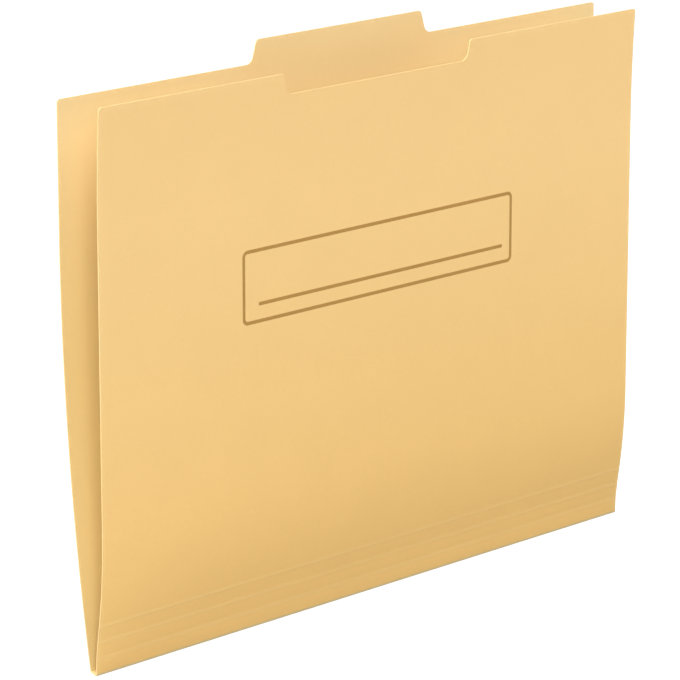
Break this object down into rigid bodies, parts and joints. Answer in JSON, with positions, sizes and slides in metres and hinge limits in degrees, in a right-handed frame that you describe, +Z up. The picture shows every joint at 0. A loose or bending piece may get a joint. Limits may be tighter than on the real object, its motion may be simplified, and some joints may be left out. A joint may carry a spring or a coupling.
{
  "type": "file folder",
  "caption": "Tabbed card file folder, folded along the bottom, with a bowed back cover, a recessed front cover and three scored strips along the foot of its front.",
  "frame": {"origin": "mid-width and mid-depth of the folder, level with the lowest point of its fold", "axes": "+X along the fold, to the right as seen from the front; +Y from the front cover to the back cover; +Z up, from the fold to the open top"},
  "size_m": [0.32, 0.0252, 0.2462],
  "materials": {
    "card": "matt uncoated manila"
  },
  "bodies": {
    "back_panel": {"back_panel": "card"},
    "spine_strip": {"spine_strip": "card"},
    "score_strip_1": {"score_strip_1": "card"},
    "score_strip_2": {"score_strip_2": "card"},
    "score_strip_3": {"score_strip_3": "card"},
    "front_panel": {"front_panel": "card"}
  },
  "joints": [
    {"name": "spine_crease", "type": "hinge", "parent": "back_panel", "child": "spine_strip", "pos_m": [0, -0.00206, 0.00127], "axis": [1, 0, 0], "range_deg": [-2, 71]},
    {"name": "main_fold", "type": "hinge", "parent": "spine_strip", "child": "score_strip_1", "pos_m": [0, -0.00599, -0.00009], "axis": [1, 0, 0], "range_deg": [-3.3, 109]},
    {"name": "score_1", "type": "hinge", "parent": "score_strip_1", "child": "score_strip_2", "pos_m": [0, -0.00591, 0.00741], "axis": [1, 0, 0], "range_deg": [0, 45]},
    {"name": "score_2", "type": "hinge", "parent": "score_strip_2", "child": "score_strip_3", "pos_m": [0, -0.00703, 0.01451], "axis": [1, 0, 0], "range_deg": [0, 45]},
    {"name": "score_3", "type": "hinge", "parent": "score_strip_3", "child": "front_panel", "pos_m": [0, -0.00808, 0.02164], "axis": [1, 0, 0], "range_deg": [0, 45]}
  ]
}
